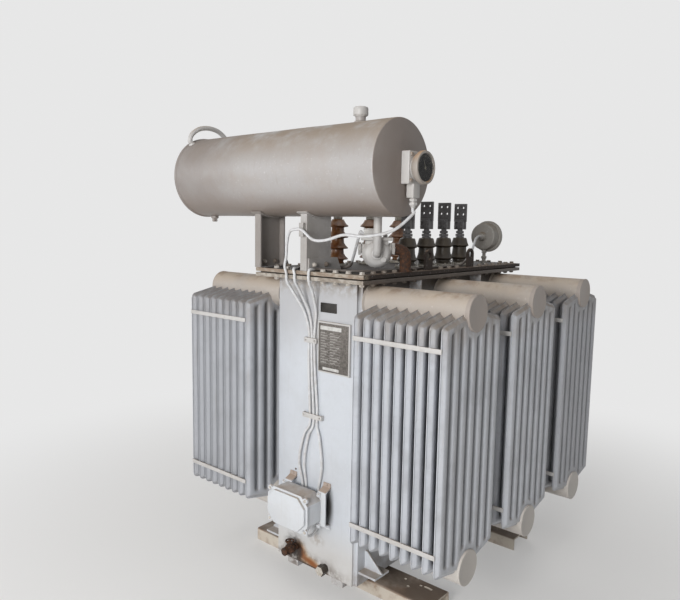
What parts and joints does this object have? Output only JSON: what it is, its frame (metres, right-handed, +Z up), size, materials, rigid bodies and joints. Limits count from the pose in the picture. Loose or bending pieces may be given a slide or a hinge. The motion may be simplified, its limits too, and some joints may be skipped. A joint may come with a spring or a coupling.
{
  "type": "power transformer",
  "caption": "Oil-filled power transformer: welded tank on cross channels, fluted panel radiators, raised conservator, bushings and signal cabling.",
  "frame": {"origin": "centre of the bounding box's underside, on the floor under the tank", "axes": "+X across the tank towards the gauge end of the conservator, +Y along the tank away from the junction box, +Z up"},
  "size_m": [1.8216, 1.8884, 2.5667],
  "materials": {
    "tank_paint": "light grey paint, satin, dusty and rubbed",
    "radiator_paint": "light grey paint, satin, dusty",
    "dirty_cover_paint": "grey paint under brown dust and rust",
    "rusty_base_paint": "grey paint with rust and dirt",
    "bare_metal": "dull grey metal",
    "rusted_steel": "rusted, dark and rough",
    "dark_plastic": "dark, matt",
    "gasket_rubber": "black, matt",
    "cable_sheath": "grey sheath, painted over",
    "lv_porcelain": "olive-brown glaze",
    "hv_porcelain": "dark brown glaze"
  },
  "bodies": {
    "root": {"tank": "tank_paint", "gasket": "gasket_rubber", "cover": "dirty_cover_paint", "lifting_lug_1": "dirty_cover_paint", "lifting_lug_2": "dirty_cover_paint", "lifting_lug_3": "dirty_cover_paint", "lifting_lug_4": "dirty_cover_paint", "base_channel_front": "rusty_base_paint", "base_channel_back": "rusty_base_paint", "conservator": "tank_paint", "conservator_eye": "tank_paint", "support_left": "tank_paint", "support_right": "tank_paint", "level_gauge": "tank_paint", "gauge_dial": "dark_plastic", "relay_body": "tank_paint", "relay_feed_pipe": "tank_paint", "relay_outlet_pipe": "rusted_steel", "thermometer_pocket": "tank_paint", "thermometer_case": "tank_paint", "gauge_cable": "cable_sheath", "relay_cable": "cable_sheath", "thermometer_cable": "cable_sheath", "cable_clamp_upper": "bare_metal", "cable_clamp_lower": "bare_metal", "junction_box": "tank_paint", "junction_lid": "tank_paint", "rating_plate_frame": "tank_paint", "rating_plate": "bare_metal", "small_plate": "dark_plastic", "drain_valve": "rusted_steel", "drain_plug": "rusted_steel", "radiator_right_1": "radiator_paint", "radiator_right_2": "radiator_paint", "radiator_right_3": "radiator_paint", "radiator_left_1": "radiator_paint", "radiator_left_2": "radiator_paint", "radiator_left_3": "radiator_paint", "lv_bushing_1": "lv_porcelain", "lv_terminal_1": "bare_metal", "lv_bushing_2": "lv_porcelain", "lv_terminal_2": "bare_metal", "lv_bushing_3": "lv_porcelain", "lv_terminal_3": "bare_metal", "lv_bushing_4": "lv_porcelain", "lv_terminal_4": "bare_metal", "hv_bushing_1": "hv_porcelain", "hv_terminal_1": "bare_metal", "hv_bushing_2": "hv_porcelain", "hv_terminal_2": "bare_metal", "hv_bushing_3": "hv_porcelain", "hv_terminal_3": "bare_metal"}
  },
  "joints": []
}
